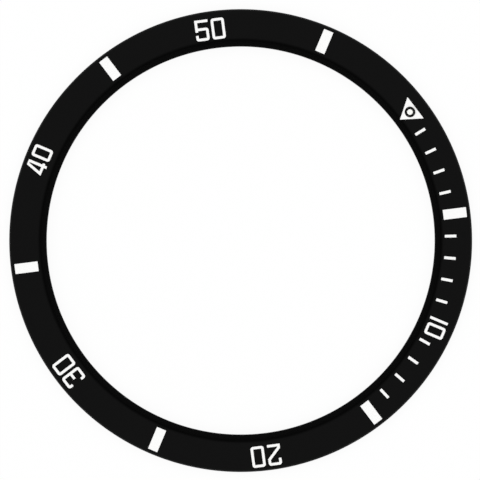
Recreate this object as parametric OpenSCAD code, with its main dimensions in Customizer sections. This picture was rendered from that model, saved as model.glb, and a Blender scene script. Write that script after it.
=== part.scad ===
// Bezel insert of a diver's watch: a black sloped ring with engraved, enamel-filled
// minute marks, a luminous pip in its zero triangle, and an adhesive ring in its back.
// Millimetres. The seat face lies on z = 0, the axis is Z, and minute zero points along +Y.

/* [Ring] */
// Outside diameter, a press fit in the rotating bezel
insert_od = 37.5; // [36:0.1:40]
// Width of the ring, from its outer wall in to the bore that clears the retaining ring
band_w = 3.03; // [2.7:0.01:3.5]
// Height of the outer wall, up to the sloping face
rim_h = 0.8; // [0.65:0.05:1.1]
// Height at which the face and the inner bevel would meet, before rounding
crest_h = 1.335; // [1.2:0.005:1.6]
// Width of the inner bevel, across the ring
bevel_w = 0.57; // [0.45:0.01:0.65]
// Drop of the inner bevel, from crest to bore
bevel_drop = 0.45; // [0.3:0.01:0.6]
// Radius of the rounded crest
crest_round = 0.41; // [0.4:0.01:0.41]
// Break of the outer top edge
edge_break = 0.12; // [0.05:0.01:0.18]
// Chamfer of both back edges
back_break = 0.1; // [0.05:0.01:0.15]

/* [Engraving] */
// Depth of every pocket, square to the seat
pocket_d = 0.26; // [0.15:0.01:0.32]
// How far the enamel stays below the face
enamel_sink = 0.02; // [0.01:0.005:0.06]
// From the bore's wall to the inner ends of the marks
mark_inset = 0.805; // [0.7:0.005:0.9]
// From the outer wall to the outer ends of the bars
rim_land = 0.325; // [0.2:0.005:0.4]
// Width of a five-minute bar
bar_w = 0.805; // [0.5:0.005:1]
// Width of a minute tick
tick_w = 0.225; // [0.18:0.005:0.35]
// Length of a minute tick
tick_len = 0.94; // [0.6:0.01:1.2]
// Last minute that has a tick
last_tick = 14; // [4:1:14]

/* [Zero triangle] */
// Width of the triangle's outer side
triangle_w = 2.17; // [2:0.005:2.5]
// Height of the triangle, point to outer side
triangle_h = 1.605; // [1.5:0.005:1.8]
// From the bore's wall to the triangle's point
point_inset = 0.46; // [0.4:0.005:0.5]

/* [Numerals] */
// Width of a stroke
stroke_w = 0.215; // [0.18:0.005:0.28]
// Height of the numerals 20, 30 and 50
numeral_h = 1.715; // [1.65:0.005:1.8]
// Width of one digit of 20, 30 and 50
digit_w = 1.08; // [1:0.005:1.2]
// Height of the numerals 10 and 40
small_numeral_h = 1.595; // [1.55:0.005:1.75]
// Width of one digit of 10 and 40
small_digit_w = 1.005; // [0.95:0.005:1.15]
// Space between the two digits of a numeral
digit_gap = 0.24; // [0.15:0.005:0.3]
// Space between the narrow 1 and its 0
one_gap = 0.28; // [0.15:0.005:0.35]
// How much shorter the 1 is than its 0
one_short = 0.05; // [0:0.005:0.08]

/* [Numeral places] */
// Numeral 10: shift clockwise and outwards from its minute, in mm, and turn, in degrees
place_10 = [0.41, -0.14, 0.2]; // [-1:0.005:1]
// Numeral 20: shift clockwise, shift outwards, turn
place_20 = [0.14, 0.075, -0.4]; // [-1:0.005:1]
// Numeral 30: shift clockwise, shift outwards, turn
place_30 = [0, 0.01, 0]; // [-1:0.005:1]
// Numeral 40: shift clockwise, shift outwards, turn
place_40 = [-0.305, 0.08, 0.2]; // [-1:0.005:1]
// Numeral 50: shift clockwise, shift outwards, turn
place_50 = [-0.31, -0.21, -0.25]; // [-1:0.005:1]

/* [Digit shapes] */
// How far the hook of the 2 comes down
two_hook = 0.56; // [0.45:0.01:0.7]
// From the top of the 2 to where its stem turns into the slant
two_knee = 0.47; // [0.4:0.01:0.6]
// Height of the straight edge at the left foot of the 2
two_foot = 0.345; // [0.3:0.005:0.45]
// How much shorter the foot of the 2 is than the digit is wide
two_short = 0.04; // [0:0.005:0.1]
// Length of both hooks of the 3
three_hook = 0.44; // [0.35:0.01:0.6]
// Length of the middle stub of the 3, stem included
three_stub = 0.67; // [0.5:0.01:0.8]
// Width of the flat top of the 4
four_top = 0.46; // [0.4:0.01:0.55]
// How far the foot of the 4 comes below its bar
four_foot = 0.215; // [0.1:0.005:0.35]
// How far the bar of the 4 passes its stem
four_overhang = 0.12; // [0.05:0.005:0.2]
// Height of the blunt left end of the 4
four_heel = 0.035; // [0.02:0.005:0.15]
// Length of the lower hook of the 5
five_hook = 0.47; // [0.4:0.01:0.6]
// From the top of the 5 to its middle bar
five_waist = 0.66; // [0.5:0.01:0.75]
// How far the left stem of the 5 passes its middle bar
five_tail = 0.11; // [0:0.01:0.15]

/* [Pip] */
// From the triangle's outer side to the middle of the pip
pip_inset = 0.58; // [0.54:0.005:0.65]
// Outside radius of the pip's cup
cup_r = 0.42; // [0.36:0.005:0.43]
// Gap round the cup in the insert and the enamel
cup_gap = 0.015; // [0.01:0.005:0.03]
// Wall of the cup's lip, round the lens
lip_w = 0.05; // [0.04:0.005:0.07]
// Radius of the luminous dot
lume_r = 0.23; // [0.18:0.005:0.28]
// Depth of the luminous dot
lume_d = 0.45; // [0.3:0.01:0.6]
// Thickness of the lens at its edge
lens_edge = 0.08; // [0.05:0.005:0.12]
// Rise of the lens's dome
lens_rise = 0.07; // [0.03:0.005:0.12]
// Gap round the lens
lens_gap = 0.005; // [0.003:0.001:0.01]
// How far the cup stands above the face
cup_proud = 0.03; // [0:0.005:0.06]
// Radius of the flange that stops the cup from behind
flange_r = 0.55; // [0.48:0.01:0.6]
// Thickness of the flange
flange_t = 0.12; // [0.08:0.01:0.15]

/* [Adhesive] */
// Depth of the groove in the back, and thickness of the adhesive
groove_d = 0.13; // [0.08:0.01:0.16]
// Land between the groove and the bore
inner_land = 0.6; // [0.45:0.01:0.8]
// Land between the groove and the outer wall
outer_land = 0.6; // [0.45:0.01:0.8]
// Gap between the adhesive and each wall of the groove
tape_gap = 0.05; // [0.03:0.01:0.1]

/* [Hidden] */
$fn = 96;
eps = 0.05;
degrees_per_minute = 6;
out_r = insert_od / 2;
bore_r = out_r - band_w;

// The section: the sloping face and the bevel meet at the corner, which is then rounded
corner = [bore_r + bevel_w, crest_h];
face_dir = unit([out_r, rim_h] - corner);
bevel_dir = unit([-bevel_w, -bevel_drop]);
half_turn = (180 - acos(face_dir * bevel_dir)) / 2;
round_reach = crest_round * tan(half_turn);
inward = unit(face_dir + bevel_dir);
round_at = corner + inward * crest_round / cos(half_turn);

// Radii that bound the marks
mark_in_r = bore_r + mark_inset;
mark_out_r = out_r - rim_land;
numeral_mid_r = (mark_in_r + mark_out_r) / 2;
point_r = bore_r + point_inset;
pip_r = point_r + triangle_h - pip_inset;
cup_hole_r = cup_r + cup_gap;
cup_top = face_z(pip_r) + cup_proud;
lens_r = cup_r - lip_w - lens_gap;
shelf_z = cup_top - lens_edge;

// Minutes that carry each kind of mark
bars = [5:10:55];
ticks = [for (m = [1:last_tick]) if (m % 5 != 0) m];
// Each numeral as minute, place, digit width and height
numerals = [
    [10, place_10, small_digit_w, small_numeral_h],
    [20, place_20, digit_w, numeral_h],
    [30, place_30, digit_w, numeral_h],
    [40, place_40, small_digit_w, small_numeral_h],
    [50, place_50, digit_w, numeral_h]
];

function unit(v) = v / norm(v);
// Height of the sloping face at a radius
function face_z(r) = rim_h + (out_r - r) * (crest_h - rim_h) / (out_r - corner[0]);
function two_figures(m) = str(m < 10 ? "0" : "", m);
function bar_name(m) = str("bar_", two_figures(m), "_fill");
function tick_name(m) = str("tick_", two_figures(m), "_fill");
function digit_name(m, zero) = str("numeral_", m, zero ? "_zero_fill" : "_tens_fill");

// Ring

// Half section of the insert before engraving, with r along X and height along Y
module blank_section() {
    difference() {
        polygon([
            [bore_r + back_break, 0],
            [out_r - back_break, 0],
            [out_r, back_break],
            [out_r, rim_h - edge_break],
            [out_r - edge_break, face_z(out_r - edge_break)],
            corner,
            [bore_r, crest_h - bevel_drop],
            [bore_r, back_break]
        ]);
        crest_waste();
    }
}

// What the rounding takes off the corner of the crest
module crest_waste() {
    difference() {
        polygon([
            corner + face_dir * round_reach,
            corner - inward * crest_round,
            corner + bevel_dir * round_reach,
            round_at
        ]);
        translate(round_at) circle(crest_round);
    }
}

module blank() {
    rotate_extrude() blank_section();
}

// The part of an outline's column that lies between two depths below the face
module under_face(top, bottom) {
    intersection() {
        translate([0, 0, groove_d]) linear_extrude(crest_h) children();
        rotate_extrude() difference() {
            translate([0, -top]) blank_section();
            translate([0, -bottom]) blank_section();
        }
    }
}

// The pocket for a mark, open upwards, with a floor that follows the face
module pocket() {
    under_face(-eps, pocket_d) children();
}

// The enamel in a pocket, level with the face but for its sink
module enamel() {
    under_face(enamel_sink, pocket_d) children();
}

// Groove for the adhesive, wider than it by the gap on each side
module adhesive_section(gap, below) {
    in_r = bore_r + inner_land + gap;
    translate([in_r, -below])
        square([out_r - outer_land - gap - in_r, groove_d + below]);
}

module cup_bore() {
    at_pip() {
        cylinder(r = cup_hole_r, h = crest_h + eps);
        cylinder(r = flange_r + cup_gap, h = groove_d + flange_t);
    }
}

module insert_ring() {
    color("#131313")
    difference() {
        blank();
        rotate_extrude() adhesive_section(0, eps);
        cup_bore();
        pocket() triangle_outline();
        pocket() for (m = bars) bar_outline(m);
        pocket() for (m = ticks) tick_outline(m);
        for (n = numerals) pocket() {
            digit_outline(n, false);
            digit_outline(n, true);
        }
    }
}

// Outlines of the marks, seen from above

// Places a mark at a minute, with +Y outwards
module at_minute(m, r) {
    rotate(-m * degrees_per_minute) translate([0, r]) children();
}

module bar_outline(m) {
    at_minute(m, mark_in_r)
        translate([-bar_w / 2, 0]) square([bar_w, mark_out_r - mark_in_r]);
}

module tick_outline(m) {
    at_minute(m, mark_in_r)
        translate([-tick_w / 2, 0]) square([tick_w, tick_len]);
}

module triangle_outline() {
    at_minute(0, point_r)
        polygon([[0, 0], [triangle_w / 2, triangle_h], [-triangle_w / 2, triangle_h]]);
}

// A straight stroke between two opposite corners
module stroke(a, b) {
    translate(a) square(b - a);
}

// The rounded outside of a bend, from its inner corner towards the signs given
module bend(at, towards) {
    translate(at) intersection() {
        circle(stroke_w);
        translate([min(towards[0], 0), min(towards[1], 0)] * stroke_w) square(stroke_w);
    }
}

// Top bar with two rounded corners, a hook down its left end and a stem down its right
module hooked_arch(w, h, hook, stem) {
    x = w / 2;
    top = h / 2;
    s = stroke_w;
    stroke([s - x, top - s], [x - s, top]);
    bend([s - x, top - s], [-1, 1]);
    bend([x - s, top - s], [1, 1]);
    stroke([-x, top - hook], [s - x, top - s]);
    stroke([x - s, top - stem], [x, top - s]);
}

module digit_0(w, h) {
    difference() {
        union() {
            square([w, h - 2 * stroke_w], center = true);
            square([w - 2 * stroke_w, h], center = true);
            for (sx = [-1, 1], sy = [-1, 1])
                bend([sx * (w / 2 - stroke_w), sy * (h / 2 - stroke_w)], [sx, sy]);
        }
        square([w - 2 * stroke_w, h - 2 * stroke_w], center = true);
    }
}

module digit_1(h) {
    stroke([-stroke_w / 2, -h / 2], [stroke_w / 2, h / 2 - one_short]);
}

module digit_2(w, h) {
    heel = [-w / 2, two_foot - h / 2];
    knee = [w / 2 - stroke_w, h / 2 - two_knee];
    slant = unit(knee - heel);
    across = [slant[1], -slant[0]] * stroke_w;
    hooked_arch(w, h, two_hook, two_knee);
    intersection() {
        square([w, h], center = true);
        polygon([
            heel - slant, knee + slant * stroke_w,
            knee + slant * stroke_w + across, heel - slant + across
        ]);
    }
    stroke([-w / 2, -h / 2], [w / 2 - two_short, stroke_w - h / 2]);
}

module digit_3(w, h) {
    hooked_arch(w, h, three_hook, h / 2);
    mirror([0, 1]) hooked_arch(w, h, three_hook, h / 2);
    stroke([w / 2 - three_stub, -stroke_w / 2], [w / 2 - eps, stroke_w / 2]);
}

module digit_4(w, h) {
    stem_right = w / 2 - four_overhang;
    stem_left = stem_right - stroke_w;
    bar_bottom = four_foot - h / 2;
    bar_top = bar_bottom + stroke_w;
    heel = [-w / 2, bar_bottom + four_heel];
    brow = [stem_right - four_top, h / 2];
    slant = unit(brow - heel);
    // A point on the inner edge of the slanted stroke, and that edge's lean
    inside = heel + [slant[1], -slant[0]] * stroke_w;
    lean = slant[0] / slant[1];
    difference() {
        polygon([
            [-w / 2, bar_bottom], heel, brow, [stem_right, h / 2],
            [stem_right, bar_top], [w / 2, bar_top], [w / 2, bar_bottom],
            [stem_right, bar_bottom], [stem_right, -h / 2], [stem_left, -h / 2],
            [stem_left, bar_bottom]
        ]);
        polygon([
            [stem_left, bar_top],
            [inside[0] + (bar_top - inside[1]) * lean, bar_top],
            [stem_left, inside[1] + (stem_left - inside[0]) / lean]
        ]);
    }
}

module digit_5(w, h) {
    x = w / 2;
    top = h / 2;
    bar_top = top - five_waist;
    bar_bottom = bar_top - stroke_w;
    stroke([-x, top - stroke_w], [x, top]);
    stroke([-x, bar_bottom - five_tail], [stroke_w - x, top]);
    stroke([-x, bar_bottom], [x - stroke_w, bar_top]);
    bend([x - stroke_w, bar_bottom], [1, 1]);
    mirror([0, 1]) hooked_arch(w, h, five_hook, h - five_waist - stroke_w);
}

// One digit of a numeral, in its place on the ring: its zero, or the figure before it
module digit_outline(n, zero) {
    tens = n[0] / 10;
    place = n[1];
    w = n[2];
    h = n[3];
    first_w = tens == 1 ? stroke_w : w;
    gap = tens == 1 ? one_gap : digit_gap;
    half = (first_w + gap + w) / 2;
    at_minute(n[0], numeral_mid_r) translate([place[0], place[1]]) rotate(-place[2])
        if (zero) translate([half - w / 2, 0]) digit_0(w, h);
        else translate([first_w / 2 - half, 0]) {
            if (tens == 1) digit_1(h);
            if (tens == 2) digit_2(w, h);
            if (tens == 3) digit_3(w, h);
            if (tens == 4) digit_4(w, h);
            if (tens == 5) digit_5(w, h);
        }
}

// Enamel in the pockets

module zero_triangle_fill() {
    color("white")
    difference() {
        enamel() triangle_outline();
        cup_bore();
    }
}

module bar_fill(m) {
    color("white") enamel() bar_outline(m);
}

module tick_fill(m) {
    color("white") enamel() tick_outline(m);
}

module digit_fill(n, zero) {
    color("white") enamel() digit_outline(n, zero);
}

// Pip, pushed in from behind until its flange stops it

module at_pip() {
    translate([0, pip_r, 0]) children();
}

module pip_cup() {
    color("#202020")
    at_pip() rotate_extrude() difference() {
        union() {
            translate([0, groove_d]) square([cup_r, cup_top - groove_d]);
            translate([0, groove_d]) square([flange_r, flange_t]);
        }
        translate([0, shelf_z]) square([cup_r - lip_w, crest_h]);
        translate([0, shelf_z - lume_d]) square([lume_r, lume_d + eps]);
    }
}

module pip_lume() {
    color("ivory")
    at_pip() translate([0, 0, shelf_z - lume_d]) cylinder(r = lume_r, h = lume_d);
}

// Clear lens: a short drum under a dome that is a slice of a sphere
module pip_lens() {
    dome_r = (lens_r * lens_r + lens_rise * lens_rise) / (2 * lens_rise);
    color("lightcyan", 0.4)
    at_pip() translate([0, 0, shelf_z]) rotate_extrude() {
        square([lens_r, lens_edge]);
        intersection() {
            translate([0, lens_edge + lens_rise - dome_r]) circle(dome_r);
            translate([0, lens_edge]) square([lens_r, lens_rise]);
        }
    }
}

// Back

module adhesive_ring() {
    color("gainsboro") rotate_extrude() adhesive_section(tape_gap, 0);
}

insert_ring();
zero_triangle_fill();
pip_cup();
pip_lume();
pip_lens();
adhesive_ring();
for (m = bars) bar_fill(m);
for (m = ticks) tick_fill(m);
for (n = numerals, zero = [false, true])
    digit_fill(n, zero);
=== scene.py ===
"""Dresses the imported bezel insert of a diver's watch and lights it as in the photograph.

The ring, its enamel marks, the luminous pip and the adhesive ring are rebuilt here as
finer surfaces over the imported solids: every rim is rounded, the enamel has a meniscus
and each finish has its own grain. Sizes are in millimetres until a mesh is written.
"""

import logging
from dataclasses import dataclass, field
from enum import Enum
from math import acos, ceil, cos, hypot, pi, radians, sin, tan

import bmesh
import bpy
import numpy as np
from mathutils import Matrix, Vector
from mathutils.geometry import delaunay_2d_cdt


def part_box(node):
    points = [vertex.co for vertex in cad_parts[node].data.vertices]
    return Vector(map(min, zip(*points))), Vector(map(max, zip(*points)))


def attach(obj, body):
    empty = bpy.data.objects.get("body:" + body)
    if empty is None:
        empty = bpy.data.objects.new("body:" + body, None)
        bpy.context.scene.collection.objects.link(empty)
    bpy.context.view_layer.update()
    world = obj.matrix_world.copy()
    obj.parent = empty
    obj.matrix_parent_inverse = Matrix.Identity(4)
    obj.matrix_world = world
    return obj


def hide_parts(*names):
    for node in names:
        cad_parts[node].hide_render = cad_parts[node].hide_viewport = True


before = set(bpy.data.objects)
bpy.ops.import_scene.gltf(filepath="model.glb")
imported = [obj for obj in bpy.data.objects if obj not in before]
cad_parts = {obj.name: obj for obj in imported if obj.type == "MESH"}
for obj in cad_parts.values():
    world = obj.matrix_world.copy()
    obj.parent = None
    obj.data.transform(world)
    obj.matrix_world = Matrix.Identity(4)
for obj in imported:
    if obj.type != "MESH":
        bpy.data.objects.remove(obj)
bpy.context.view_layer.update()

MM = 0.001
BODY = "root"
TRIANGLE = "zero_triangle_fill"
MINUTE_DEG = 6
SEGMENTS = 960  # facets round the ring, so one of them turns by less than half a degree
PIP_FACETS = 72  # facets round the pip
HOLE_FACETS = 64  # facets round the pip's hole in the ring and in the triangle
CHORD = 0.001  # how far a facet of an outline may lie off its true arc
FINE_CHORD = 0.0004  # the same for a section, whose facets would show in reflections
PLATE_TOLERANCE = 1e-7  # points of a plate nearer than this are one point
WELD_M = 1e-7  # points of a shell nearer than this, in metres, are one point
SHARP_DEG = 32  # an edge that turns by more than this stays sharp
NOISE_LOW, NOISE_HIGH = 0.3, 0.7  # nearly all of a noise texture lies between these

Pair = tuple[float, float]  # a plan point, a radius and a height, or a range
Corners = list[Pair]
Drawing = list[tuple[Corners, tuple[int, ...]]]  # each loop's corners and true bends
Place = tuple[float, float, float]  # shift clockwise, shift outwards, clockwise degrees
Tree = bpy.types.NodeTree
Socket = bpy.types.NodeSocket

logging.basicConfig(level=logging.INFO, format="%(message)s")
log = logging.getLogger("bezel_insert")


# Plan and section curves


def corner_arc(before: np.ndarray, at: np.ndarray, after: np.ndarray, radius: float,
               chord: float) -> np.ndarray:
    """Rounds one corner: a circle of the radius that touches both sides.

    The circle touches each side at radius times the tangent of half the turn from the
    corner, and its points are spread evenly over the turn.

    Args:
        before: The point before the corner.
        at: The corner.
        after: The point after the corner.
        radius: Radius of the rounding; zero keeps the corner.
        chord: How far a facet may lie off the true arc.

    Returns:
        The arc's points from its first tangent point to its last, as (n, 2).
    """
    if radius <= 0:
        return at[None, :]
    to_before = (before - at) / hypot(*(before - at))
    to_after = (after - at) / hypot(*(after - at))
    turn = pi - acos(float(np.clip(to_before @ to_after, -1, 1)))
    reach = radius * tan(turn / 2)
    bisector = to_before + to_after
    centre = at + bisector / hypot(*bisector) * radius / cos(turn / 2)
    start = at + to_before * reach - centre
    side = np.sign(to_before[0] * to_after[1] - to_before[1] * to_after[0])
    # A facet that spans twice this angle lies the chord off its arc.
    half_facet = acos(1 - min(chord / radius, 0.5))
    steps = max(2, ceil(turn / (2 * half_facet)))
    angles = -side * np.linspace(0, turn, steps + 1)
    turned_x = start[0] * np.cos(angles) - start[1] * np.sin(angles)
    turned_y = start[0] * np.sin(angles) + start[1] * np.cos(angles)
    return centre + np.stack([turned_x, turned_y], axis=1)


def rounded(points: Corners, radii: list[float] | np.ndarray, closed: bool = True,
            chord: float = CHORD) -> tuple[np.ndarray, list[int]]:
    """Joins corners into one line, each rounded by its own radius.

    Args:
        points: The corners in order.
        radii: One radius for each corner.
        closed: Whether the last corner joins the first.
        chord: How far a facet may lie off a true arc.

    Returns:
        The line's points as (n, 2), and for each corner the index of its first point.
    """
    corners = np.array(points, float)
    last = len(corners) - 1
    pieces, starts, count = [], [], 0
    for i, at in enumerate(corners):
        is_end = not closed and i in (0, last)
        arc = corner_arc(corners[i - 1], at, corners[(i + 1) % len(corners)],
                         0 if is_end else radii[i], chord)
        starts.append(count)
        count += len(arc)
        pieces.append(arc)
    return np.concatenate(pieces), starts


def densified(line: np.ndarray, step: float, closed: bool = True) -> np.ndarray:
    """Cuts each side of a line into equal parts no longer than the step.

    Args:
        line: The line's points as (n, 2).
        step: The longest part allowed.
        closed: Whether the last point joins the first.

    Returns:
        The finer line, with every old point kept.
    """
    ahead = np.roll(line, -1, axis=0) if closed else line[1:]
    start = line if closed else line[:-1]
    parts = np.maximum(1, np.ceil(np.linalg.norm(ahead - start, axis=1) / step)).astype(int)
    first = np.repeat(np.cumsum(parts) - parts, parts)
    share = (np.arange(parts.sum()) - first) / np.repeat(parts, parts)
    finer = np.repeat(start, parts, axis=0)
    finer = finer + (np.repeat(ahead, parts, axis=0) - finer) * share[:, None]
    return finer if closed else np.concatenate([finer, line[-1:]])


def offset(loop: np.ndarray, distance: float) -> np.ndarray:
    """Moves a closed loop to its left by a distance, mitred at every point.

    Args:
        loop: The loop's points as (n, 2), with the region on its left.
        distance: How far to move, negative for the other way.

    Returns:
        The moved loop, point for point.
    """
    ahead = np.roll(loop, -1, axis=0) - loop
    normal = np.stack([-ahead[:, 1], ahead[:, 0]], axis=1)
    normal /= np.linalg.norm(normal, axis=1, keepdims=True)
    before = np.roll(normal, 1, axis=0)
    share = 1 + np.sum(before * normal, axis=1, keepdims=True)
    return loop + distance * (before + normal) / share


def circle(centre: Pair, radius: float, count: int, clockwise: bool = False) -> np.ndarray:
    """Returns a circle's points as (count, 2)."""
    angle = np.linspace(0, 2 * pi, count, endpoint=False) * (-1 if clockwise else 1)
    return np.array(centre) + radius * np.stack([np.cos(angle), np.sin(angle)], axis=1)


def rectangle(x0: float, y0: float, x1: float, y1: float) -> Corners:
    """Returns a rectangle's corners, counterclockwise."""
    return [(x0, y0), (x1, y0), (x1, y1), (x0, y1)]


def spun(points: np.ndarray, degrees: float) -> np.ndarray:
    """Turns plan points clockwise about the origin."""
    t = radians(degrees)
    return points @ np.array([[cos(t), -sin(t)], [sin(t), cos(t)]])


def at_minute(loop: np.ndarray, minute: int, r: float,
              place: Place = (0, 0, 0)) -> np.ndarray:
    """Turns and moves a loop drawn upright, with +Y outwards, to its minute at radius r."""
    moved = spun(loop, place[2]) + np.array([place[0], r + place[1]])
    return spun(moved, MINUTE_DEG * minute)


def at_height(points: np.ndarray, z: float) -> np.ndarray:
    """Puts plan points at one height, as (n, 3)."""
    return np.column_stack([points, np.full(len(points), z)])


def gap_to(loops: list[np.ndarray], points: np.ndarray) -> np.ndarray:
    """Measures how far points lie from the nearest side of any loop.

    Args:
        loops: Closed loops, each as (n, 2).
        points: The points as (m, 2).

    Returns:
        One distance for each point.
    """
    nearest = np.full(len(points), np.inf)
    for loop in loops:
        side = np.roll(loop, -1, axis=0) - loop
        away = points[:, None, :] - loop[None, :, :]
        share = np.clip(np.sum(away * side, axis=2) / np.sum(side * side, axis=1), 0, 1)
        miss = away - share[:, :, None] * side
        nearest = np.minimum(nearest, np.sqrt(np.min(np.sum(miss * miss, axis=2), axis=1)))
    return nearest


def plate(loops: list[np.ndarray],
          inner: np.ndarray | None = None) -> tuple[np.ndarray, np.ndarray]:
    """Fills the region that an odd number of loops enclose with triangles.

    Args:
        loops: Closed loops that don't cross, each as (n, 2).
        inner: Further points for the triangles to use, as (m, 2).

    Returns:
        The points as (k, 2) and the triangles as (t, 3).
    """
    sizes = [len(loop) for loop in loops]
    firsts = np.cumsum([0] + sizes[:-1])
    # Twice a loop's signed area, which is positive when it runs counterclockwise.
    areas = [np.sum(loop[:, 0] * np.roll(loop[:, 1], -1)
                    - loop[:, 1] * np.roll(loop[:, 0], -1)) for loop in loops]
    rings = [list(range(f, f + n)) if a > 0 else list(range(f + n - 1, f - 1, -1))
             for f, n, a in zip(firsts, sizes, areas)]
    given = np.concatenate(loops if inner is None else [*loops, inner])
    points, _, faces, _, _, owners = delaunay_2d_cdt(
        [Vector(p) for p in given], [], rings, 0, PLATE_TOLERANCE, True)
    inside = np.array([len(of) % 2 == 1 for of in owners])
    used, triangles = np.unique(np.array(faces)[inside], return_inverse=True)
    return np.array([tuple(p) for p in points])[used], triangles.reshape(-1, 3)


# Meshes


class Shell:
    """Gathers the strips and plates of one piece and welds them into a closed mesh."""

    def __init__(self) -> None:
        """Starts an empty shell."""
        self.points: list[np.ndarray] = []
        self.faces: list[np.ndarray] = []
        self.count = 0

    def add(self, points: np.ndarray, faces: np.ndarray) -> None:
        """Takes points and the faces between them.

        Args:
            points: The points as (n, 3), in millimetres.
            faces: The faces, as indices that count from the first of these points.
        """
        self.points.append(points)
        self.faces.append(faces + self.count)
        self.count += len(points)

    def strip(self, rows: np.ndarray) -> None:
        """Joins rows of points by quads; each row closes on itself.

        Args:
            rows: The rows as (m, n, 3), where point i of a row faces point i of the next.
        """
        m, n, _ = rows.shape
        i, j = np.meshgrid(np.arange(m - 1), np.arange(n), indexing="ij")
        k = (j + 1) % n
        quads = np.stack([i * n + j, i * n + k, (i + 1) * n + k, (i + 1) * n + j], axis=-1)
        self.add(rows.reshape(-1, 3), quads.reshape(-1, 4))

    def turned(self, profile: np.ndarray, count: int, at: Pair = (0, 0)) -> None:
        """Turns a profile round an upright axis.

        A point (r, z) of the profile goes to the axis plus r times the sine and cosine of
        each angle, at height z.

        Args:
            profile: The profile's points as (m, 2), radius and height.
            count: Facets round the turn.
            at: Where the axis stands.
        """
        angle = np.linspace(0, 2 * pi, count, endpoint=False)
        x = at[0] + profile[:, :1] * np.sin(angle)
        y = at[1] + profile[:, :1] * np.cos(angle)
        z = np.repeat(profile[:, 1:], count, axis=1)
        self.strip(np.stack([x, y, z], axis=-1))

    def mesh(self, name: str) -> bpy.types.Mesh:
        """Welds what was added, turns every face outwards and smooths gentle edges.

        Args:
            name: The mesh's name.

        Returns:
            The finished mesh, in metres.
        """
        points = np.concatenate(self.points) * MM
        corners = np.concatenate([f.ravel() for f in self.faces])
        sizes = np.concatenate([np.full(len(f), f.shape[1]) for f in self.faces])
        made = bpy.data.meshes.new(name)
        made.vertices.add(len(points))
        made.vertices.foreach_set("co", points.astype(np.float32).ravel())
        made.loops.add(len(corners))
        made.loops.foreach_set("vertex_index", corners.astype(np.int32))
        made.polygons.add(len(sizes))
        made.polygons.foreach_set("loop_start", (np.cumsum(sizes) - sizes).astype(np.int32))
        made.update(calc_edges=True)
        work = bmesh.new()
        work.from_mesh(made)
        bmesh.ops.remove_doubles(work, verts=work.verts, dist=WELD_M)
        bmesh.ops.recalc_face_normals(work, faces=work.faces)
        open_edges = sum(1 for e in work.edges if len(e.link_faces) != 2)
        work.to_mesh(made)
        work.free()
        made.shade_smooth()
        made.set_sharp_from_angle(angle=radians(SHARP_DEG))
        if open_edges:
            log.warning("%s has %d open edges", name, open_edges)
        return made


# Finishes


def linear(colour: str) -> tuple[float, ...]:
    """Turns an sRGB hex value into the linear colour that a socket takes.

    The sRGB curve is a straight foot, and above it a power of 2.4.

    Args:
        colour: The value, written #rrggbb.

    Returns:
        Red, green, blue and an alpha of one.
    """
    parts = [int(colour[i:i + 2], 16) / 255 for i in (1, 3, 5)]
    made = [p / 12.92 if p <= 0.04045 else ((p + 0.055) / 1.055) ** 2.4 for p in parts]
    return (*made, 1.0)


def per_metre(size_mm: float) -> float:
    """Returns the texture scale whose features are that many millimetres apart."""
    return 1 / (size_mm * MM)


def bare_tree(owner: bpy.types.Material | bpy.types.World) -> Tree:
    """Gives a material or world its nodes.

    Args:
        owner: The material or world.

    Returns:
        Its node tree, emptied.
    """
    owner.use_nodes = True
    owner.node_tree.nodes.clear()
    return owner.node_tree


def add_node(tree: Tree, kind: str, inputs: dict | None = None,
             **settings: object) -> bpy.types.Node:
    """Adds a node with its settings, values and links.

    Args:
        tree: The node tree.
        kind: The node's type name.
        inputs: For each input's name or index, a value or the socket that feeds it.
        **settings: The node's own properties.

    Returns:
        The node.
    """
    node = tree.nodes.new(kind)
    for key, value in settings.items():
        setattr(node, key, value)
    for key, value in (inputs or {}).items():
        if isinstance(value, Socket):
            tree.links.new(value, node.inputs[key])
        else:
            node.inputs[key].default_value = value
    return node


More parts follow.
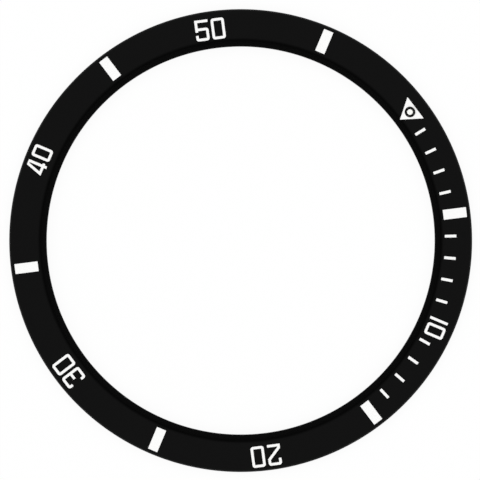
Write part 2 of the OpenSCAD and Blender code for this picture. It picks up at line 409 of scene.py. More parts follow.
@dataclass(frozen=True)
class Finish:
    """A surface whose colour and gloss drift a little and whose skin has a fine grain.

    Attributes:
        name: The real finish, in a maker's words.
        tint: Its colour.
        shade: The colour that it drifts to in patches.
        drift_mm: Size of those patches.
        gloss: Lowest and highest roughness.
        grain_mm: Size of the grain.
        grain_high_mm: Height of the grain.
        specular: Specular level of the shader.
        head_on: Colour of its reflection seen straight on; at a slant it turns white.
        metallic: How metallic it is.
        ior: Index of refraction.
        turned_mm: Spacing of the lathe marks round a turned part's axis, or zero.
        turned_share: Share of those marks in the grain.
        painted_bevel_shade: Painted shade: a darker colour put on a turned part near its axis,
            where its inner bevel faces away from the light.
        painted_bevel_shade_mm: Radii between which that painted shade fades out.
    """

    name: str
    tint: str
    shade: str
    drift_mm: float
    gloss: Pair
    grain_mm: float
    grain_high_mm: float
    specular: float = 0.5
    head_on: str = "#ffffff"
    metallic: float = 0.0
    ior: float = 1.5
    turned_mm: float = 0.0
    turned_share: float = 0.4
    painted_bevel_shade: str = "#000000"
    painted_bevel_shade_mm: Pair = (0.0, 0.0)

    def material(self) -> bpy.types.Material:
        """Builds the finish the first time, and finds it after that.

        Returns:
            Its material.
        """
        made = bpy.data.materials.get(self.name)
        if made:
            return made
        made = bpy.data.materials.new(self.name)
        tree = bare_tree(made)
        place = add_node(tree, "ShaderNodeTexCoord").outputs["Object"]
        drift = add_node(tree, "ShaderNodeTexNoise", {
            "Vector": place, "Scale": per_metre(self.drift_mm), "Detail": 3.0})
        colour = add_node(tree, "ShaderNodeMix", {
            "Factor": drift.outputs["Fac"], "A": linear(self.tint),
            "B": linear(self.shade)}, data_type="RGBA").outputs["Result"]
        grain = add_node(tree, "ShaderNodeTexNoise", {
            "Vector": place, "Scale": per_metre(self.grain_mm), "Detail": 2.0,
            "Roughness": 0.6}).outputs["Fac"]
        if self.turned_mm:
            colour, grain = self.turned(tree, place, colour, grain)
        gloss = add_node(tree, "ShaderNodeMapRange", {
            "Value": grain, "From Min": NOISE_LOW, "From Max": NOISE_HIGH,
            "To Min": self.gloss[0], "To Max": self.gloss[1]})
        bump = add_node(tree, "ShaderNodeBump", {
            "Height": grain, "Strength": 1.0, "Distance": self.grain_high_mm * MM})
        shader = add_node(tree, "ShaderNodeBsdfPrincipled", {
            "Base Color": colour, "Metallic": self.metallic,
            "Roughness": gloss.outputs["Result"], "IOR": self.ior,
            "Specular IOR Level": self.specular,
            "Specular Tint": linear(self.head_on), "Normal": bump.outputs["Normal"]})
        add_node(tree, "ShaderNodeOutputMaterial", {"Surface": shader.outputs["BSDF"]})
        return made

    def turned(self, tree: Tree, place: Socket, colour: Socket,
               grain: Socket) -> tuple[Socket, Socket]:
        """Darkens the colour near the axis as painted shade on the inner bevel, and mixes
        lathe marks into the grain.

        Args:
            tree: The node tree.
            place: Object coordinates.
            colour: The colour so far.
            grain: The grain so far.

        Returns:
            The new colour and the new grain.
        """
        flat = add_node(tree, "ShaderNodeVectorMath", {0: place, 1: (1.0, 1.0, 0.0)},
                        operation="MULTIPLY").outputs["Vector"]
        radius = add_node(tree, "ShaderNodeVectorMath", {0: flat},
                          operation="LENGTH").outputs["Value"]
        # Painted shade: the colour turns darker towards the inner bevel, near the axis.
        share = add_node(tree, "ShaderNodeMapRange", {
            "Value": radius, "From Min": self.painted_bevel_shade_mm[0] * MM,
            "From Max": self.painted_bevel_shade_mm[1] * MM}, interpolation_type="SMOOTHSTEP")
        colour = add_node(tree, "ShaderNodeMix", {
            "Factor": share.outputs["Result"], "A": linear(self.painted_bevel_shade), "B": colour},
            data_type="RGBA").outputs["Result"]
        marks = add_node(tree, "ShaderNodeTexNoise", {
            "W": radius, "Scale": per_metre(self.turned_mm), "Detail": 2.0},
            noise_dimensions="1D").outputs["Fac"]
        grain = add_node(tree, "ShaderNodeMix", {
            "Factor": self.turned_share, "A": grain, "B": marks},
            data_type="FLOAT").outputs["Result"]
        return colour, grain


# Black dyed anodising over fine-turned, bead-blasted aluminium: deep, even black head on, as
# the dye drinks what the oxide would reflect, and a grey satin sheen at a slant. The blast
# grit is near 0.05 mm, drawn at 0.11 mm so that it shows. The inner bevel is painted a darker
# colour, as painted shade where the steep bevel faces away from the light.
ANODISED = Finish("black_anodised_aluminium", "#0f0f0f", "#101010", 2.5, (0.36, 0.44),
                  0.11, 0.0012, head_on="#4c4c4c", ior=1.3, turned_mm=0.09, painted_bevel_shade="#010101",
                  painted_bevel_shade_mm=(16.19, 16.45))
# Air-dried white enamel wiped into the pockets: clean white, silky, with faint orange peel.
ENAMEL = Finish("white_enamel_fill", "#fbfbfa", "#f7f7f6", 0.6, (0.32, 0.44), 0.16, 0.001,
                specular=0.4)
# Chemically blackened brass: darker than the ring, with a soft metal edge.
CUP_METAL = Finish("blackened_brass", "#0c0b0a", "#100f0d", 0.3, (0.34, 0.5), 0.06, 0.0008,
                   head_on="#404040", metallic=0.3)
# Luminous compound, a grainy paste of crystals in clear binder: chalky, faintly green-white.
LUME = Finish("luminous_paste", "#f7f8f0", "#eaeddd", 0.09, (0.7, 0.9), 0.05, 0.003,
              specular=0.3)
# Glazed release paper over the adhesive film: off-white, with a soft paper tooth.
LINER = Finish("adhesive_release_paper", "#ddd9cd", "#d2cdbf", 0.9, (0.45, 0.62), 0.12,
               0.002, specular=0.4)


@dataclass(frozen=True)
class ClearFinish:
    """Clear glass that lets light straight through and only shines at its surface.

    Attributes:
        name: The real finish.
        shine: Colour of its reflection.
        ior: Index that sets how strongly it reflects.
        roughness: Roughness of its polish.
        swirl_mm: Size of the swirls that polishing leaves.
        swirl_high_mm: Height of those swirls.
    """

    name: str
    shine: str
    ior: float
    roughness: float
    swirl_mm: float
    swirl_high_mm: float

    def material(self) -> bpy.types.Material:
        """Builds the glass: a mirror whose share of the surface is the Fresnel share.

        Returns:
            Its material.
        """
        made = bpy.data.materials.new(self.name)
        tree = bare_tree(made)
        place = add_node(tree, "ShaderNodeTexCoord").outputs["Object"]
        swirl = add_node(tree, "ShaderNodeTexNoise", {
            "Vector": place, "Scale": per_metre(self.swirl_mm), "Detail": 1.0})
        bump = add_node(tree, "ShaderNodeBump", {
            "Height": swirl.outputs["Fac"], "Strength": 0.5,
            "Distance": self.swirl_high_mm * MM}).outputs["Normal"]
        share = add_node(tree, "ShaderNodeFresnel", {"IOR": self.ior, "Normal": bump})
        shader = add_node(tree, "ShaderNodeBsdfPrincipled", {
            "Base Color": linear(self.shine), "Roughness": self.roughness,
            "Metallic": 1.0, "Alpha": share.outputs["Fac"], "Normal": bump})
        add_node(tree, "ShaderNodeOutputMaterial", {"Surface": shader.outputs["BSDF"]})
        return made


# Polished mineral glass with an anti-reflection coat: it mirrors about half a percent.
GLASS = ClearFinish("coated_mineral_glass", "#fdfefe", 1.15, 0.02, 0.25, 0.0006)


class Slot(Enum):
    """Material slots of the record."""

    RING = "black_ring"
    ENAMEL = "white_enamel"
    CUP = "pip_metal"
    LUME = "luminous_paste"
    GLASS = "pip_glass"
    ADHESIVE = "adhesive"


def place_piece(shell: Shell, node: str, finish: Finish | ClearFinish) -> None:
    """Makes a shell the piece that stands for a CAD node.

    Args:
        shell: The piece's surface.
        node: The CAD node that it replaces.
        finish: Its finish.
    """
    made = shell.mesh(node + "_surface")
    made.materials.append(finish.material())
    piece = bpy.data.objects.new(node + "_surface", made)
    bpy.context.scene.collection.objects.link(piece)
    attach(piece, BODY)
    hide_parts(node)
    points = np.empty(3 * len(made.vertices), np.float32)
    made.vertices.foreach_get("co", points)
    points = points.reshape(-1, 3)
    cad = np.array([list(corner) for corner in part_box(node)])
    off = np.abs(np.stack([points.min(0), points.max(0)]) - cad).max() / MM
    log.info("%-28s %6d faces, box within %.3f mm of the CAD node", node,
             len(made.polygons), off)


# The ring


@dataclass(frozen=True)
class Section:
    """Half section of the ring, as radius and height.

    Attributes:
        out_r: Radius of the outer wall.
        bore_r: Radius of the bore.
        rim_h: Height of the outer wall.
        corner: Where the sloping face and the inner bevel would meet.
        bevel_low: Height of the bevel at the bore.
        crest_round: Radius of the rounded crest.
        edge_break: Break of the outer top edge.
        back_break: Chamfer of both back edges.
        groove: Inner radius, outer radius and depth of the adhesive groove.
        handled: Radius that handling and tumbling leave on every other edge.
    """

    out_r: float = 18.75
    bore_r: float = 15.72
    rim_h: float = 0.8
    corner: Pair = (16.29, 1.335)
    bevel_low: float = 0.885
    crest_round: float = 0.41
    edge_break: float = 0.12
    back_break: float = 0.1
    groove: tuple[float, float, float] = (16.32, 18.15, 0.13)
    handled: float = 0.035

    def face_z(self, r: float) -> float:
        """Height of the sloping face: a straight line from the corner to the outer wall."""
        fall = (self.corner[1] - self.rim_h) / (self.out_r - self.corner[0])
        return self.rim_h + (self.out_r - r) * fall

    def profile(self) -> tuple[np.ndarray, int, int]:
        """The section from the groove's inner wall over the top to its outer wall.

        Returns:
            The points as (n, 2), and the first point of the crest and of the face's end.
        """
        groove_in, groove_out, groove_d = self.groove
        face_end = self.out_r - self.edge_break
        points = [
            (groove_in, groove_d), (groove_in, 0), (self.bore_r + self.back_break, 0),
            (self.bore_r, self.back_break), (self.bore_r, self.bevel_low), self.corner,
            (face_end, self.face_z(face_end)), (self.out_r, self.rim_h - self.edge_break),
            (self.out_r, self.back_break), (self.out_r - self.back_break, 0),
            (groove_out, 0), (groove_out, groove_d)]
        crest = points.index(self.corner)
        radii = [self.handled] * len(points)
        radii[crest] = self.crest_round
        line, starts = rounded(points, radii, closed=False, chord=FINE_CHORD)
        return line, starts[crest], starts[crest + 1]

    def height(self, points: np.ndarray) -> np.ndarray:
        """Height of the top surface above plan points, read off the section.

        Args:
            points: Plan points as (n, 2).

        Returns:
            One height for each.
        """
        line, crest, end = self.profile()
        # The point before the crest's first is the lower end of the bevel.
        top = line[crest - 1:end + 1]
        return np.interp(np.linalg.norm(points, axis=1), top[:, 0], top[:, 1])


SECTION = Section()


def lift(points: np.ndarray, below: np.ndarray | float = 0.0) -> np.ndarray:
    """Puts plan points at a depth below the ring's top surface, as (n, 3)."""
    return np.column_stack([points, SECTION.height(points) - below])


# The marks


@dataclass(frozen=True)
class Cutter:
    """The engraving cutter, which leaves a small radius at every corner.

    Attributes:
        outer_corner: Radius on an outer corner.
        inner_corner: Radius in an inner corner.
        step: The longest part that an outline's side is cut into.
    """

    outer_corner: float = 0.02
    inner_corner: float = 0.035
    step: float = 0.12

    def outline(self, corners: Corners, bends: tuple[int, ...] = (),
                bend_r: float = 0.0) -> np.ndarray:
        """Rounds an outline's corners as the cutter leaves them.

        Args:
            corners: The corners, with the enamel on the left of the way round.
            bends: Which corners are true bends, by index.
            bend_r: Radius of those.

        Returns:
            The loop's points as (n, 2).
        """
        p = np.array(corners, float)
        ahead = np.roll(p, -1, axis=0) - p
        behind = p - np.roll(p, 1, axis=0)
        left = behind[:, 0] * ahead[:, 1] - behind[:, 1] * ahead[:, 0] > 0
        radii = np.where(left, self.outer_corner, self.inner_corner)
        radii[list(bends)] = bend_r
        return densified(rounded(corners, radii)[0], self.step)


CUTTER = Cutter()


@dataclass(frozen=True)
class Figures:
    """The figures 0 to 5.

    Each is drawn about its middle from its half width x and its half height y: its outer
    loop, and then its inner one if it has one. A bend's radius is the stroke's width.

    Attributes:
        stroke: Width of a stroke.
        one_short: How much shorter the 1 is than the others.
        two_hook: How far the hook of the 2 comes down.
        two_knee: From its top to where its stem turns into the slant.
        two_foot: Height of the straight edge at its left foot.
        two_short: How much shorter its foot is than the figure is wide.
        three_hook: Length of both hooks of the 3.
        three_stub: Length of its middle stub, stem included.
        four_top: Width of the flat top of the 4.
        four_foot: How far its foot comes below its bar.
        four_overhang: How far its bar passes its stem.
        four_heel: Height of its blunt left end.
        five_hook: Length of the lower hook of the 5.
        five_waist: From its top to its middle bar.
        five_tail: How far its left stem passes that bar.
    """

    stroke: float = 0.215
    one_short: float = 0.05
    two_hook: float = 0.56
    two_knee: float = 0.47
    two_foot: float = 0.345
    two_short: float = 0.04
    three_hook: float = 0.44
    three_stub: float = 0.67
    four_top: float = 0.46
    four_foot: float = 0.215
    four_overhang: float = 0.12
    four_heel: float = 0.035
    five_hook: float = 0.47
    five_waist: float = 0.66
    five_tail: float = 0.11

    def loops(self, figure: int, w: float, h: float) -> list[np.ndarray]:
        """Cuts the outlines of a figure.

        Args:
            figure: The figure, 0 to 5.
            w: Its width.
            h: Its height.

        Returns:
            Its outer loop, and an inner loop if it has one.
        """
        draw = (self.zero, self.one, self.two, self.three, self.four, self.five)[figure]
        return [CUTTER.outline(corners, bends, self.stroke)
                for corners, bends in draw(w / 2, h / 2)]

    def zero(self, x: float, y: float) -> Drawing:
        """Draws a 0: a frame with bends outside and cut corners inside."""
        s = self.stroke
        return [(rectangle(-x, -y, x, y), (0, 1, 2, 3)),
                (rectangle(s - x, s - y, x - s, y - s)[::-1], ())]

    def one(self, x: float, y: float) -> Drawing:
        """Draws a 1: a single stroke, whatever the width."""
        return [(rectangle(-self.stroke / 2, -y, self.stroke / 2, y - self.one_short), ())]

    def two(self, x: float, y: float) -> Drawing:
        """Draws a 2: arch, slant and foot.

        Args:
            x: Half its width.
            y: Half its height.

        Returns:
            Its one loop.
        """
        s, hook, short = self.stroke, self.two_hook, self.two_short
        heel = np.array([-x, self.two_foot - y])
        knee = np.array([x - s, y - self.two_knee])
        slant = (knee - heel) / hypot(*(knee - heel))
        edge = knee + np.array([slant[1], -slant[0]]) * s
        lean = slant[1] / slant[0]
        return [([
            (s - x, y - hook), (s - x, y - s), (x - s, y - s), tuple(knee), tuple(heel),
            (-x, -y), (x - short, -y), (x - short, s - y),
            (edge[0] + (s - y - edge[1]) / lean, s - y),
            (x, edge[1] + (x - edge[0]) * lean), (x, y), (-x, y), (-x, y - hook)],
            (10, 11))]

    def three(self, x: float, y: float) -> Drawing:
        """Draws a 3: two hooked arches and a stub between them.

        Args:
            x: Half its width.
            y: Half its height.

        Returns:
            Its one loop.
        """
        s, hook, stub = self.stroke, self.three_hook, self.three_stub
        return [([
            (s - x, y - hook), (s - x, y - s), (x - s, y - s), (x - s, s / 2),
            (x - stub, s / 2), (x - stub, -s / 2), (x - s, -s / 2), (x - s, s - y),
            (s - x, s - y), (s - x, hook - y), (-x, hook - y), (-x, -y), (x, -y), (x, y),
            (-x, y), (-x, y - hook)], (11, 12, 13, 14))]

    def four(self, x: float, y: float) -> Drawing:
        """Draws a 4: stem, bar and slant round a three-cornered eye.

        Args:
            x: Half its width.
            y: Half its height.

        Returns:
            Its outer loop and its eye.
        """
        s = self.stroke
        right = x - self.four_overhang
        left = right - s
        low = self.four_foot - y
        high = low + s
        heel = np.array([-x, low + self.four_heel])
        brow = np.array([right - self.four_top, y])
        slant = (brow - heel) / hypot(*(brow - heel))
        inside = heel + np.array([slant[1], -slant[0]]) * s
        lean = slant[0] / slant[1]
        outer = [(-x, low), (left, low), (left, -y), (right, -y), (right, low), (x, low),
                 (x, high), (right, high), (right, y), tuple(brow), tuple(heel)]
        eye = [(left, high), (inside[0] + (high - inside[1]) * lean, high),
               (left, inside[1] + (left - inside[0]) / lean)]
        return [(outer, ()), (eye, ())]

    def five(self, x: float, y: float) -> Drawing:
        """Draws a 5: top bar, left stem and a hooked bowl.

        Args:
            x: Half its width.
            y: Half its height.

        Returns:
            Its one loop.
        """
        s, hook, tail = self.stroke, self.five_hook, self.five_tail
        top = y - self.five_waist
        low = top - s
        return [([
            (-x, low - tail), (s - x, low - tail), (s - x, low), (x - s, low),
            (x - s, s - y), (s - x, s - y), (s - x, hook - y), (-x, hook - y), (-x, -y),
            (x, -y), (x, top), (s - x, top), (s - x, y - s), (x, y - s), (x, y), (-x, y)],
            (8, 9, 10))]


FIGURES = Figures()


@dataclass(frozen=True)
class Mark:
    """One filled mark.

    Attributes:
        node: The CAD node of its enamel.
        loops: Its outline and inner outlines, each with the enamel on its left.
    """

    node: str
    loops: list[np.ndarray]


@dataclass
class MinuteScale:
    """Outlines of every mark, seen from above with minute zero at the top.

    Attributes:
        mark_in_r: Radius at the inner ends of bars and ticks.
        mark_out_r: Radius at the outer ends of bars.
        bar_w: Width of a bar.
        tick_w: Width of a tick.
        tick_len: Length of a tick.
        last_tick: Last minute that has a tick.
        triangle: Width, height and point radius of the zero triangle.
        sizes: Digit width and height for each numeral.
        places: Shift and turn for each numeral.
        gap: Space between two digits.
        one_gap: Space between a 1 and its 0.
    """

    mark_in_r: float = 16.525
    mark_out_r: float = 18.425
    bar_w: float = 0.805
    tick_w: float = 0.225
    tick_len: float = 0.94
    last_tick: int = 14
    triangle: tuple[float, float, float] = (2.17, 1.605, 16.18)
    sizes: dict[int, Pair] = field(default_factory=lambda: {
        10: (1.005, 1.595), 20: (1.08, 1.715), 30: (1.08, 1.715), 40: (1.005, 1.595),
        50: (1.08, 1.715)})
    places: dict[int, Place] = field(default_factory=lambda: {
        10: (0.41, -0.14, 0.2), 20: (0.14, 0.075, -0.4), 30: (0, 0.01, 0),
        40: (-0.305, 0.08, 0.2), 50: (-0.31, -0.21, -0.25)})
    gap: float = 0.24
    one_gap: float = 0.28

    def straight(self, kind: str, w: float, length: float,
                 minutes: list[int]) -> list[Mark]:
        """Cuts a straight mark at each minute, outwards from the marks' inner radius.

        Args:
            kind: What its node's name begins with.
            w: Its width.
            length: Its length.
            minutes: The minutes that have one.

        Returns:
            The marks.
        """
        loop = CUTTER.outline(rectangle(-w / 2, 0, w / 2, length))
        return [Mark(f"{kind}_{m:02d}_fill", [at_minute(loop, m, self.mark_in_r)])
                for m in minutes]

    def zero_triangle(self) -> Mark:
        """Cuts the zero triangle, without the pip's hole.

        Returns:
            The mark.
        """
        w, h, point_r = self.triangle
        loop = CUTTER.outline([(0, 0), (w / 2, h), (-w / 2, h)])
        return Mark(TRIANGLE, [at_minute(loop, 0, point_r)])

    def numerals(self) -> list[Mark]:
        """Cuts both digits of each numeral, side by side about the numeral's middle.

        Returns:
            The marks.
        """
        mid_r = (self.mark_in_r + self.mark_out_r) / 2
        made = []
        for minute, (w, h) in self.sizes.items():
            one = minute == 10
            first_w = FIGURES.stroke if one else w
            half = (first_w + (self.one_gap if one else self.gap) + w) / 2
            for name, figure, x in (("tens", minute // 10, first_w / 2 - half),
                                    ("zero", 0, half - w / 2)):
                made.append(Mark(f"numeral_{minute}_{name}_fill", [
                    at_minute(loop + np.array([x, 0]), minute, mid_r, self.places[minute])
                    for loop in FIGURES.loops(figure, w, h)]))
        return made

    def marks(self) -> list[Mark]:
        """Cuts every mark.

        Returns:
            The marks, the zero triangle first.
        """
        bar_len = self.mark_out_r - self.mark_in_r
        bars = self.straight("bar", self.bar_w, bar_len, list(range(5, 60, 10)))
        # A bar or a numeral stands at each fifth minute.
        ticks = self.straight("tick", self.tick_w, self.tick_len,
                              [m for m in range(1, self.last_tick + 1) if m % 5])
        return [self.zero_triangle(), *bars, *ticks, *self.numerals()]


@dataclass
class InsertRing:
    """The black ring, with a rimmed pocket for each mark.

    Attributes:
        pocket_d: Depth of the pockets below the face.
        rim_round: Radius on the rim of each pocket.
        rim_rows: Rows of points over that radius.
        land: Width of a flat land kept round each rim, which holds the shading steady.
        clear: How near to a land the face's own points may come.
        cup_hole_r: Radius of the pip's hole.
        flange_hole_r: Radius of the recess behind it.
        flange_z: Top of that recess.
        row_step: Spacing of the face's rows of points.
        wall_step: Spacing of the rows on the walls.
    """

    pocket_d: float = 0.26
    rim_round: float = 0.015
    rim_rows: int = 5
    land: float = 0.012
    clear: float = 0.03
    cup_hole_r: float = 0.435
    flange_hole_r: float = 0.565
    flange_z: float = 0.25
    row_step: float = 0.16
    wall_step: float = 0.25

    def build(self, marks: list[Mark], pip_at: Pair) -> None:
        """Builds the ring and puts it in place of its CAD node.

        Args:
            marks: Every mark that is engraved.
            pip_at: Where the pip's axis stands.
        """
        shell = Shell()
        line, crest, end = SECTION.profile()
        for wall in (line[:crest + 1], line[end:]):
            shell.turned(densified(wall, self.wall_step, closed=False), SEGMENTS)
        self.face(shell, line[crest:end + 1],
                  [loop for mark in marks for loop in mark.loops])
        for mark in marks:
            self.pocket(shell, mark, pip_at)
        self.back(shell, pip_at)
        place_piece(shell, "insert_ring", ANODISED)

    def face(self, shell: Shell, line: np.ndarray, loops: list[np.ndarray]) -> None:
        """Covers the crest and the sloping face between the marks.

        The height of a point is that of the section at its radius. The rows of points
        run round the axis, every other one turned by half a facet.

        Args:
            shell: The ring's shell.
            line: The section from the crest's first point to the face's end.
            loops: The outlines of all marks.
        """
        grown = [offset(loop, -self.rim_round - self.land) for loop in loops]
        rows = densified(line, self.row_step, closed=False)[:, 0]
        rims = [self.ring_of(rows[-1]), self.ring_of(rows[0])]
        lattice = np.concatenate([self.ring_of(r, 0.5 * (i % 2)) for i, r in
                                  enumerate(rows[1:-1])])
        free = np.ones(len(lattice), bool)
        for loop in grown:
            near = np.all((lattice > loop.min(0) - self.clear)
                          & (lattice < loop.max(0) + self.clear), axis=1)
            index = np.flatnonzero(near)
            free[index[gap_to([loop], lattice[index]) < self.clear]] = False
        flat, triangles = plate(rims + grown, lattice[free])
        shell.add(lift(flat), triangles)

    def ring_of(self, r: float, shift: float = 0.0) -> np.ndarray:
        """Returns a circle about the axis at the angles that turned() uses."""
        angle = (np.arange(SEGMENTS) + shift) * 2 * pi / SEGMENTS
        return r * np.stack([np.sin(angle), np.cos(angle)], axis=1)

    def pocket(self, shell: Shell, mark: Mark, pip_at: Pair) -> None:
        """Sinks one pocket: land, rounded rim, upright wall and floor.

        The rim is a quarter circle carried along the outline: at angle a it lies the
        radius times one minus the sine outside the wall, and the radius times one minus
        the cosine below the face.

        Args:
            shell: The ring's shell.
            mark: The mark.
            pip_at: Where the pip's axis stands.
        """
        turn = np.linspace(0, pi / 2, self.rim_rows)
        outs = np.concatenate([[self.rim_round + self.land],
                               self.rim_round * (1 - np.sin(turn)), [0.0]])
        downs = np.concatenate([[0.0], self.rim_round * (1 - np.cos(turn)),
                                [self.pocket_d]])
        for loop in mark.loops:
            shell.strip(np.stack([lift(offset(loop, -out), down)
                                  for out, down in zip(outs, downs)]))
        holes = []
        if mark.node == TRIANGLE:
            hole = circle(pip_at, self.cup_hole_r, HOLE_FACETS)
            shell.strip(np.stack([lift(hole, self.pocket_d), at_height(hole, self.flange_z)]))
            holes.append(hole)
        flat, triangles = plate(mark.loops + holes)
        shell.add(lift(flat, self.pocket_d), triangles)

    def back(self, shell: Shell, pip_at: Pair) -> None:
        """Closes the groove's ceiling and the recess for the pip's flange.

        Args:
            shell: The ring's shell.
            pip_at: Where the pip's axis stands.
        """
        inner_r, outer_r, groove_d = SECTION.groove
        recess = circle(pip_at, self.flange_hole_r, HOLE_FACETS)
        hole = circle(pip_at, self.cup_hole_r, HOLE_FACETS)
        flat, triangles = plate([self.ring_of(outer_r), self.ring_of(inner_r), recess])
        shell.add(at_height(flat, groove_d), triangles)
        shell.strip(np.stack([at_height(recess, groove_d), at_height(recess, self.flange_z),
                              at_height(hole, self.flange_z)]))


@dataclass
class EnamelFills:
    """The enamel in every pocket.

    Attributes:
        pocket_d: Depth of the pockets below the face.
        sink: How far the enamel lies below the face away from its edge.
        climb: How much higher it stands where it wets the wall.
        climb_w: How far in from the wall the climb reaches.
        rows: How far in from the wall the rows of points lie that shape the climb.
        row_clear: How near to a wall a point of those rows may come.
        step: Spacing of the points inside a mark.
        grid_clear: How near to a wall those points may come.
    """

    pocket_d: float = 0.26
    sink: float = 0.021
    climb: float = 0.006
    climb_w: float = 0.05
    rows: tuple[float, ...] = (0.012, 0.027, 0.05)
    row_clear: float = 0.0115
    step: float = 0.14
    grid_clear: float = 0.06

    def build(self, marks: list[Mark], hole: np.ndarray) -> None:
        """Builds one piece for each mark.

        Args:
            marks: Every mark.
            hole: The pip's hole through the zero triangle.
        """
        for mark in marks:
            self.fill(mark.node, mark.loops + ([hole] if mark.node == TRIANGLE else []))

    def depth(self, loops: list[np.ndarray], points: np.ndarray) -> np.ndarray:
        """Depth of the skin: sink less climb times the square of the share of climb_w left."""
        left = np.clip(1 - gap_to(loops, points) / self.climb_w, 0, 1)
        return self.sink - self.climb * left ** 2

    def fill(self, node: str, loops: list[np.ndarray]) -> None:
        """Builds the enamel of one mark: wall, skin with a meniscus, and underside.

        Args:
            node: The CAD node that it replaces.
            loops: Its outlines.
        """
        spread = np.concatenate([offset(loop, side * d) for loop in loops
                                 for side in (-1, 1) for d in self.rows])
        low = np.concatenate(loops).min(0)
        high = np.concatenate(loops).max(0)
        x, y = np.meshgrid(np.arange(low[0], high[0], self.step),
                           np.arange(low[1], high[1], self.step))
        grid = np.stack([x.ravel(), y.ravel()], axis=1)
        points = np.concatenate([spread[gap_to(loops, spread) > self.row_clear],
                                 grid[gap_to(loops, grid) > self.grid_clear]])
        shell = Shell()
        for loop in loops:
            shell.strip(np.stack([lift(loop, self.pocket_d),
                                  lift(loop, self.depth([loop], loop))]))
        flat, triangles = plate(loops, points)
        shell.add(lift(flat, self.depth(loops, flat)), triangles)
        flat, triangles = plate(loops)
        shell.add(lift(flat, self.pocket_d), triangles)
        place_piece(shell, node, ENAMEL)


@dataclass
class Pip:
    """The luminous pip: cup, paste and lens, all turned about one upright axis.

    Attributes:
        at: Where its axis stands.
        cup_r: Outside radius of the cup.
        lip_w: Wall of the cup's lip.
        lume_r: Radius of the paste.
        lume_d: Depth of the paste.
        lume_edge: Radius on the paste's upper edge.
        lens_gap: Gap round the lens.
        lens_edge: Thickness of the lens at its edge.
        lens_rise: Rise of its dome.
        lens_rows: Rows of points over the dome.
        proud: How far the cup stands above the face.
        flange: Radius and thickness of the flange.
        handled: Radius on the edges of lip and flange.
        seam: Air between the lens and the paste.
        step: Spacing of the rows on cup and paste.
    """

    at: Pair = (0.0, 17.205)
    cup_r: float = 0.42
    lip_w: float = 0.05
    lume_r: float = 0.23
    lume_d: float = 0.45
    lume_edge: float = 0.01
    lens_gap: float = 0.005
    lens_edge: float = 0.08
    lens_rise: float = 0.07
    lens_rows: int = 17
    proud: float = 0.03
    flange: Pair = (0.55, 0.12)
    handled: float = 0.015
    seam: float = 0.003
    step: float = 0.1

    def build(self) -> None:
        """Builds the cup, the paste and the lens, whose dome is part of a sphere."""
        top = SECTION.face_z(self.at[1]) + self.proud
        shelf = top - self.lens_edge
        floor = shelf - self.lume_d
        back = SECTION.groove[2]
        flange_r, flange_t = self.flange
        lip_in = self.cup_r - self.lip_w
        self.piece("pip_cup", CUP_METAL, Slot.CUP, [
            (0, floor), (self.lume_r, floor), (self.lume_r, shelf), (lip_in, shelf),
            (lip_in, top), (self.cup_r, top), (self.cup_r, back + flange_t),
            (flange_r, back + flange_t), (flange_r, back), (0, back)],
            {4: self.handled, 5: self.handled, 7: self.handled})
        self.piece("pip_lume", LUME, Slot.LUME, [
            (0, shelf), (self.lume_r, shelf), (self.lume_r, floor), (0, floor)],
            {1: self.lume_edge})
        low = shelf + self.seam
        lens_r = lip_in - self.lens_gap
        dome_r = (lens_r ** 2 + self.lens_rise ** 2) / (2 * self.lens_rise)
        sweep = np.linspace(0, np.arcsin(lens_r / dome_r), self.lens_rows)
        dome = np.stack([dome_r * np.sin(sweep),
                         top + self.lens_rise - dome_r * (1 - np.cos(sweep))], axis=1)
        shell = Shell()
        shell.turned(np.concatenate([dome, [[lens_r, low], [0, low]]]), PIP_FACETS, self.at)
        place_piece(shell, "pip_lens", GLASS)

    def piece(self, node: str, finish: Finish, slot: Slot, points: Corners,
              bends: dict[int, float]) -> None:
        """Turns one profile into a piece.

        Args:
            node: The CAD node that it replaces.
            finish: Its finish.
            slot: The record's material slot; not used.
            points: The profile's corners, as radius and height.
            bends: Radii of its rounded corners, by index.
        """
        radii = [bends.get(i, 0.0) for i in range(len(points))]
        line, _ = rounded(points, radii, closed=False, chord=FINE_CHORD)
        shell = Shell()
        shell.turned(densified(line, self.step, closed=False), PIP_FACETS, self.at)
        place_piece(shell, node, finish)


@dataclass
class AdhesiveRing:
    """The adhesive ring in the groove of the back, under its release paper.

    Attributes:
        gap: Gap to each wall of the groove.
        edge: Softness of its cut edges.
        step: Spacing of its rows of points.
    """

    gap: float = 0.05
    edge: float = 0.02
    step: float = 0.3

    def build(self) -> None:
        """Turns its section, a rectangle with soft lower edges, about the axis."""
        inner_r, outer_r, depth = SECTION.groove
        corners = rectangle(inner_r + self.gap, 0, outer_r - self.gap, depth)
        line, _ = rounded(corners, [self.edge, self.edge, 0, 0], chord=FINE_CHORD)
        line = densified(line, self.step)
        shell = Shell()
        shell.turned(np.concatenate([line, line[:1]]), SEGMENTS)
        place_piece(shell, "adhesive_ring", LINER)


# Studio


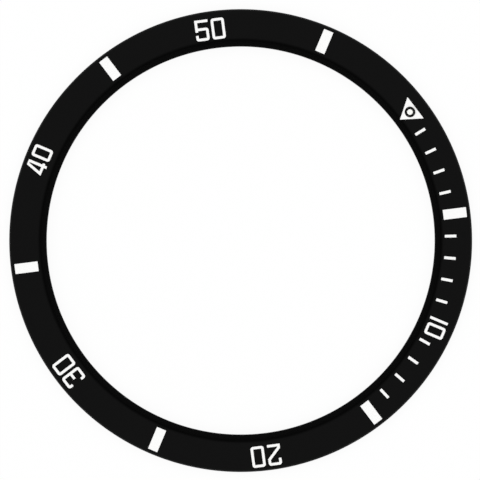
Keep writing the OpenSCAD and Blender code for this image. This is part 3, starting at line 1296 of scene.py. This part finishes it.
@dataclass
class Studio:
    """Floor, light and camera of the photograph.

    Attributes:
        turn_deg: Angle from the image's top to minute zero, clockwise.
        frame_mm: Width of the picture at the ring's rim.
        lens_mm: A long lens, because the photograph shows no perspective.
        sensor_mm: Width of the camera's sensor.
        clip_m: Nearest and farthest that the camera sees.
        shift_mm: Where the camera stands off the axis, to the picture's right and up.
        level: Radiance of the wide soft box overhead.
        room: Sine of the height over the horizon, and share of that radiance there.
        floor_m: Half the width of the floor.
        floor_white: Share of the floor's white that the camera sees whatever the shadow.
        mottle_mm: Size of the floor's faint patches.
    """

    turn_deg: float = 52.78
    frame_mm: float = 38.883
    lens_mm: float = 600.0
    sensor_mm: float = 36.0
    clip_m: Pair = (0.05, 20)
    shift_mm: Pair = (-0.056, 0.046)
    level: float = 1.345
    room: tuple[Pair, ...] = (
        (-1.0, 0.74), (-0.02, 0.74), (0.0, 0.4), (0.12, 0.3), (0.34, 0.3), (0.5, 0.5),
        (0.64, 1.0), (0.92, 1.0), (1.0, 0.55))
    floor_m: float = 1.2
    floor_white: float = 0.92
    mottle_mm: float = 60.0

    def build(self) -> None:
        """Builds the whole studio."""
        self.camera()
        self.world()
        self.floor()
        bpy.context.scene.view_settings.view_transform = "Standard"

    def camera(self) -> None:
        """Hangs the camera over the ring, turned as the photograph is."""
        lens = bpy.data.cameras.new("camera")
        lens.lens, lens.sensor_width = self.lens_mm, self.sensor_mm
        lens.clip_start, lens.clip_end = self.clip_m
        camera = bpy.data.objects.new("camera", lens)
        bpy.context.scene.collection.objects.link(camera)
        t = radians(self.turn_deg)
        right, up = np.array([cos(t), sin(t)]), np.array([-sin(t), cos(t)])
        x, y = (right * self.shift_mm[0] + up * self.shift_mm[1]) * MM
        rim = (SECTION.rim_h - SECTION.edge_break) * MM
        far = self.frame_mm * MM / 2 / (self.sensor_mm / 2 / self.lens_mm)
        camera.location = (x, y, rim + far)
        camera.rotation_euler = (0, 0, t)
        bpy.context.scene.camera = camera

    def world(self) -> None:
        """Lights the ring by a wide soft box overhead, in a dim room.

        The box is dimmer in its middle, where the camera looks through it, and fades out
        50 to 70 degrees off the axis. Under the horizon the room is as bright as a lit
        white floor.
        """
        world = bpy.data.worlds.new("room")
        bpy.context.scene.world = world
        tree = bare_tree(world)
        look = add_node(tree, "ShaderNodeTexCoord").outputs["Generated"]
        parts = add_node(tree, "ShaderNodeSeparateXYZ", {"Vector": look})
        height = add_node(tree, "ShaderNodeMapRange", {
            "Value": parts.outputs["Z"], "From Min": -1.0})
        ramp = add_node(tree, "ShaderNodeValToRGB", {"Fac": height.outputs["Result"]})
        for sine, _ in self.room[1:-1]:
            ramp.color_ramp.elements.new((sine + 1) / 2)
        for element, (_, share) in zip(ramp.color_ramp.elements, self.room):
            element.color = (share, share, share, 1)
        back = add_node(tree, "ShaderNodeBackground", {
            "Color": ramp.outputs["Color"], "Strength": self.level})
        add_node(tree, "ShaderNodeOutputWorld", {"Surface": back.outputs["Background"]})

    def floor(self) -> None:
        """Lays a plain white floor that keeps a faint shadow and isn't seen from below."""
        half = self.floor_m
        made = bpy.data.meshes.new("floor")
        made.from_pydata([(x, y, 0) for x, y in rectangle(-half, -half, half, half)], [],
                         [(0, 1, 2, 3)])
        floor = bpy.data.objects.new("floor", made)
        bpy.context.scene.collection.objects.link(floor)
        # The room's pale lower half lights the part's underside in the floor's stead.
        floor.visible_diffuse = floor.visible_shadow = False
        material = bpy.data.materials.new("white_floor")
        tree = bare_tree(material)
        place = add_node(tree, "ShaderNodeTexCoord").outputs["Object"]
        mottle = add_node(tree, "ShaderNodeTexNoise", {
            "Vector": place, "Scale": per_metre(self.mottle_mm), "Detail": 2.0})
        colour = add_node(tree, "ShaderNodeMix", {
            "Factor": mottle.outputs["Fac"], "A": linear("#fbfbfb"),
            "B": linear("#f8f8f8")}, data_type="RGBA")
        matt = add_node(tree, "ShaderNodeBsdfDiffuse", {"Color": colour.outputs["Result"]})
        white = add_node(tree, "ShaderNodeEmission", {"Strength": 1.0})
        path = add_node(tree, "ShaderNodeLightPath")
        seen = path.outputs["Is Camera Ray"]
        for kind in ("Is Glossy Ray", "Is Transmission Ray"):
            seen = add_node(tree, "ShaderNodeMath", {0: seen, 1: path.outputs[kind]},
                            operation="MAXIMUM").outputs[0]
        share = add_node(tree, "ShaderNodeMath", {0: seen, 1: self.floor_white},
                         operation="MULTIPLY")
        front = add_node(tree, "ShaderNodeMixShader", {
            0: share.outputs[0], 1: matt.outputs["BSDF"], 2: white.outputs["Emission"]})
        clear = add_node(tree, "ShaderNodeBsdfTransparent")
        under = add_node(tree, "ShaderNodeNewGeometry").outputs["Backfacing"]
        both = add_node(tree, "ShaderNodeMixShader", {
            0: under, 1: front.outputs["Shader"], 2: clear.outputs["BSDF"]})
        add_node(tree, "ShaderNodeOutputMaterial", {"Surface": both.outputs["Shader"]})
        made.materials.append(material)


def main() -> None:
    """Builds every piece and the studio."""
    ring = InsertRing()
    pip = Pip()
    marks = MinuteScale().marks()
    log.info("%d marks drawn", len(marks))
    ring.build(marks, pip.at)
    hole = circle(pip.at, ring.cup_hole_r, HOLE_FACETS, clockwise=True)
    EnamelFills().build(marks, hole)
    pip.build()
    AdhesiveRing().build()
    Studio().build()


if __name__ == "__main__":
    main()
